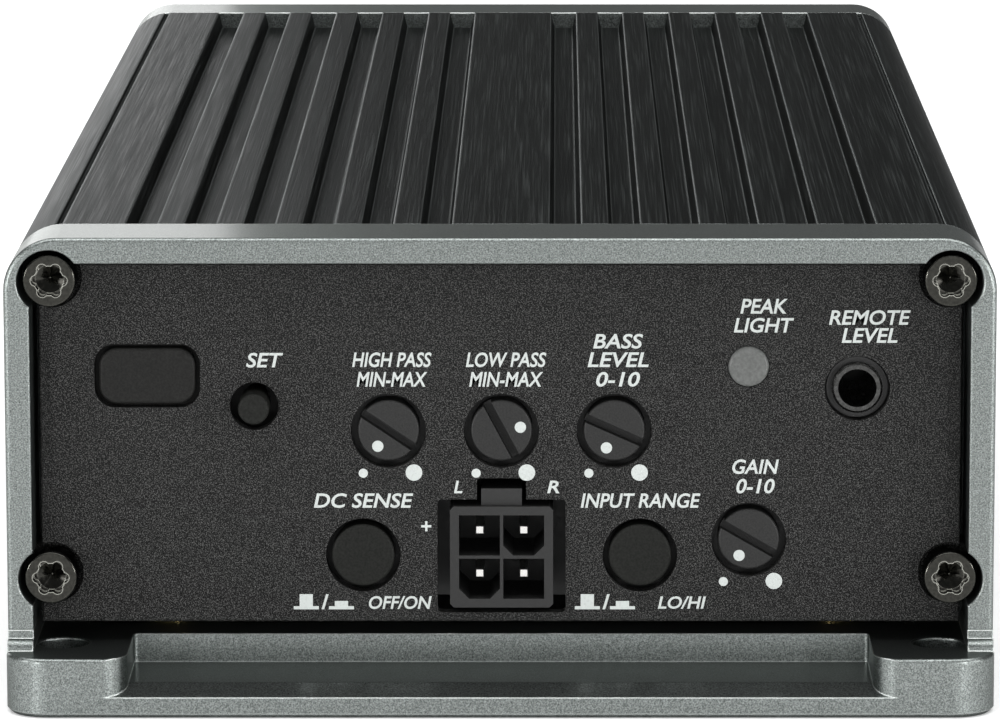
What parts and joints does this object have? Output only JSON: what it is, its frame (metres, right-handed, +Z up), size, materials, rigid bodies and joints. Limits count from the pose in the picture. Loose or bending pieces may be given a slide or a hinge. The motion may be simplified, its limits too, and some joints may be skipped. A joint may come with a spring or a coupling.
{
  "type": "car amplifier",
  "caption": "Compact car amplifier: finned dark heatsink cover, grey end frames, a recessed control panel with knobs, buttons and sockets, and a base with mounting ears.",
  "frame": {"origin": "on the mounting surface, under the middle of the object", "axes": "+X across the control panel to its right, +Y from the control end to the wiring end, +Z up from the mounting surface"},
  "size_m": [0.0922, 0.193, 0.0444],
  "materials": {
    "frame_paint": "metallic grey paint with fine flake",
    "heatsink_finish": "dark anodised, drawn lengthwise",
    "panel_powder_coat": "fine textured black powder coat",
    "dark_nickel": "dark nickel plate",
    "knob_plastic": "smooth black",
    "button_plastic": "smooth black",
    "window_plastic": "smoked",
    "light_pipe": "frosted",
    "moulded_black": "fine moulded",
    "jack_metal": "bright plate",
    "plated_contact": "tin plate",
    "plated_steel": "zinc plate",
    "board_laminate": "black solder mask",
    "standoff_brass": "turned",
    "capacitor_sleeve": "shrunk sleeve",
    "ferrite": "sintered, smooth",
    "enamel_wire": "enamelled copper wire",
    "film_box": "moulded box",
    "chip_resin": "moulded resin",
    "thermal_silicone": "soft grey sheet",
    "clamp_aluminium": "plain"
  },
  "bodies": {
    "chassis": {"base_plate": "frame_paint", "base_screws": "dark_nickel", "bass_boost_potentiometer": "moulded_black", "board_link": "moulded_black", "board_screws": "plated_steel", "board_standoffs": "standoff_brass", "clamp_bars": "clamp_aluminium", "clamp_screws": "plated_steel", "control_board": "board_laminate", "dc_offset_switch": "moulded_black", "driver_chips": "chip_resin", "filter_capacitors": "film_box", "frame_screws": "dark_nickel", "front_frame": "frame_paint", "front_panel": "panel_powder_coat", "front_panel_screws": "dark_nickel", "gain_potentiometer": "moulded_black", "heatsink_cover": "heatsink_finish", "high_pass_potentiometer": "moulded_black", "input_connector_housing": "moulded_black", "input_connector_pins": "plated_contact", "input_level_switch": "moulded_black", "low_pass_potentiometer": "moulded_black", "main_board": "board_laminate", "output_inductors": "ferrite", "power_terminal_block": "moulded_black", "power_transistors": "chip_resin", "processor_chip": "chip_resin", "rear_frame": "frame_paint", "rear_panel": "panel_powder_coat", "rear_panel_screws": "dark_nickel", "remote_jack_body": "moulded_black", "remote_jack_ring": "jack_metal", "setup_switch": "moulded_black", "speaker_terminal_block": "moulded_black", "status_light": "chip_resin", "status_light_pipe": "light_pipe", "status_window": "window_plastic", "storage_capacitors": "capacitor_sleeve", "terminal_cages": "plated_contact", "terminal_screws": "plated_steel", "thermal_pads": "thermal_silicone", "toroid_core": "ferrite", "toroid_winding": "enamel_wire"},
    "high_pass_knob": {"high_pass_knob": "knob_plastic"},
    "low_pass_knob": {"low_pass_knob": "knob_plastic"},
    "bass_boost_knob": {"bass_boost_knob": "knob_plastic"},
    "gain_knob": {"gain_knob": "knob_plastic"},
    "dc_offset_button": {"dc_offset_button": "button_plastic"},
    "input_level_button": {"input_level_button": "button_plastic"},
    "setup_button": {"setup_button": "button_plastic"}
  },
  "joints": [
    {"name": "high_pass_turn", "type": "hinge", "parent": "chassis", "child": "high_pass_knob", "pos_m": [-0.01047, -0.087, 0.0257], "axis": [0, 1, 0], "range_deg": [-10, 288]},
    {"name": "low_pass_turn", "type": "hinge", "parent": "chassis", "child": "low_pass_knob", "pos_m": [0.00008, -0.087, 0.0257], "axis": [0, 1, 0], "range_deg": [-218, 80]},
    {"name": "bass_boost_turn", "type": "hinge", "parent": "chassis", "child": "bass_boost_knob", "pos_m": [0.01062, -0.087, 0.0257], "axis": [0, 1, 0], "range_deg": [0, 298]},
    {"name": "gain_turn", "type": "hinge", "parent": "chassis", "child": "gain_knob", "pos_m": [0.02324, -0.087, 0.01535], "axis": [0, 1, 0], "range_deg": [-6, 292]},
    {"name": "dc_offset_press", "type": "slide", "parent": "chassis", "child": "dc_offset_button", "axis": [0, 1, 0], "range_m": [0, 0.0015], "stiffness_N_per_m": 600},
    {"name": "input_level_press", "type": "slide", "parent": "chassis", "child": "input_level_button", "axis": [0, 1, 0], "range_m": [0, 0.0015], "stiffness_N_per_m": 600},
    {"name": "setup_press", "type": "slide", "parent": "chassis", "child": "setup_button", "axis": [0, 1, 0], "range_m": [0, 0.0004], "stiffness_N_per_m": 2000}
  ]
}
